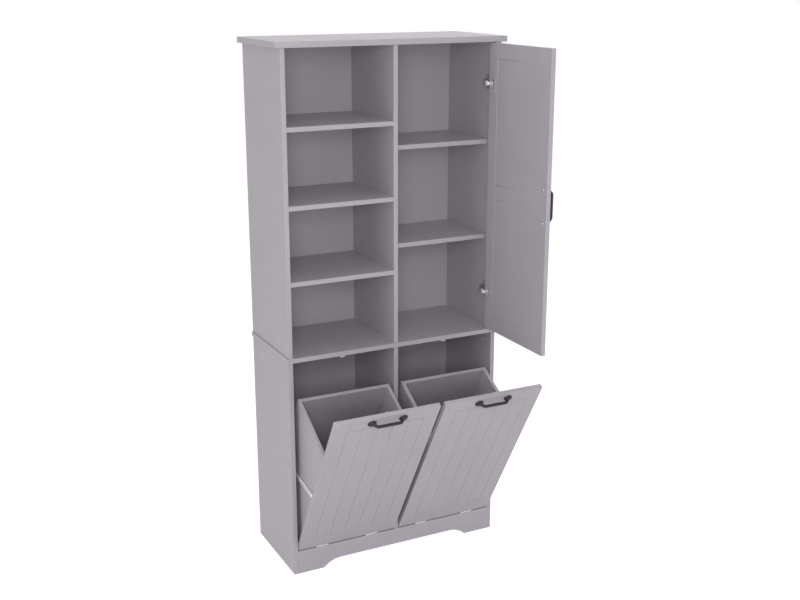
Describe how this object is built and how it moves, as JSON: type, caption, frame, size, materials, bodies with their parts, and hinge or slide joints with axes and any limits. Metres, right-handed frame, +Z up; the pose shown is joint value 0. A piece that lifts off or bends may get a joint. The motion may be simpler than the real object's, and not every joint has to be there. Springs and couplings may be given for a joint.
{
  "type": "bathroom laundry cabinet",
  "caption": "Tall bathroom cabinet with open cubbies, a hinged door over loose shelves, and two tilt-out laundry hampers with beaded flaps",
  "frame": {"origin": "floor level, centre of the carcass footprint, on the underside of the centre support", "axes": "+Z up, -Y out of the front where the door and flaps are, +X to the right seen from the front"},
  "size_m": [0.8, 0.674, 1.752],
  "materials": {
    "paint": "satin painted wood board, grey with a faint lilac cast",
    "back_panel": "satin painted thin fibreboard, same grey",
    "handle_metal": "black satin coated metal",
    "bright_steel": "bright nickel plated steel",
    "cap_plastic": "matt plastic in the paint's colour",
    "catch_plastic": "white matt plastic"
  },
  "bodies": {
    "carcass": {"lower_left_side": "paint", "lower_right_side": "paint", "lower_divider": "paint", "middle_board": "paint", "upper_left_side": "paint", "upper_right_side": "paint", "upper_divider": "paint", "top_board": "paint", "bottom_board": "paint", "apron": "paint", "centre_support": "paint", "upper_back_panel": "back_panel", "lower_back_panel": "back_panel", "left_shelf_top": "paint", "left_shelf_middle": "paint", "left_shelf_bottom": "paint", "right_shelf_upper": "paint", "right_shelf_lower": "paint", "shelf_pins": "bright_steel", "cam_locks": "bright_steel", "cam_bolts": "bright_steel", "cam_caps": "cap_plastic", "door_hinge_plates": "bright_steel", "door_hinge_arms": "bright_steel", "flap_catches": "catch_plastic", "apron_hinge_leaves": "bright_steel", "stay_studs": "bright_steel"},
    "door": {"door_hinge_stile": "paint", "door_handle_stile": "paint", "door_top_rail": "paint", "door_middle_rail": "paint", "door_bottom_rail": "paint", "door_upper_panel": "paint", "door_lower_panel": "paint", "door_handle": "handle_metal", "door_handle_screws": "bright_steel", "door_hinge_cups": "bright_steel"},
    "left_hamper": {"left_flap": "paint", "left_bin_outer_side": "paint", "left_bin_inner_side": "paint", "left_bin_back": "paint", "left_bin_bottom": "paint", "left_handle": "handle_metal", "left_handle_screws": "bright_steel", "left_hinge_leaves": "bright_steel", "left_strike_plate": "bright_steel", "left_stay_anchor": "bright_steel"},
    "left_stay": {"left_stay_arm": "bright_steel"},
    "right_hamper": {"right_flap": "paint", "right_bin_outer_side": "paint", "right_bin_inner_side": "paint", "right_bin_back": "paint", "right_bin_bottom": "paint", "right_handle": "handle_metal", "right_handle_screws": "bright_steel", "right_hinge_leaves": "bright_steel", "right_strike_plate": "bright_steel", "right_stay_anchor": "bright_steel"},
    "right_stay": {"right_stay_arm": "bright_steel"}
  },
  "joints": [
    {"name": "door_hinge", "type": "hinge", "parent": "carcass", "child": "door", "pos_m": [0.3565, -0.16, 1.249], "axis": [0, 0, 1], "range_deg": [-90, 15]},
    {"name": "left_hamper_tilt", "type": "hinge", "parent": "carcass", "child": "left_hamper", "pos_m": [-0.1875, -0.1655, 0.0855], "axis": [1, 0, 0], "range_deg": [-30, 0]},
    {"name": "right_hamper_tilt", "type": "hinge", "parent": "carcass", "child": "right_hamper", "pos_m": [0.1875, -0.1655, 0.0855], "axis": [1, 0, 0], "range_deg": [-30, 0]},
    {"name": "left_stay_swing", "type": "hinge", "parent": "left_hamper", "child": "left_stay", "pos_m": [-0.3564, -0.27828, 0.32984], "axis": [1, 0, 0], "range_deg": [0, 15]},
    {"name": "right_stay_swing", "type": "hinge", "parent": "right_hamper", "child": "right_stay", "pos_m": [0.3564, -0.27828, 0.32984], "axis": [1, 0, 0], "range_deg": [0, 15]}
  ],
  "couplings": [
    {"joint": "left_stay_swing", "follows": "left_hamper_tilt", "ratio": -0.5},
    {"joint": "right_stay_swing", "follows": "right_hamper_tilt", "ratio": -0.5}
  ]
}
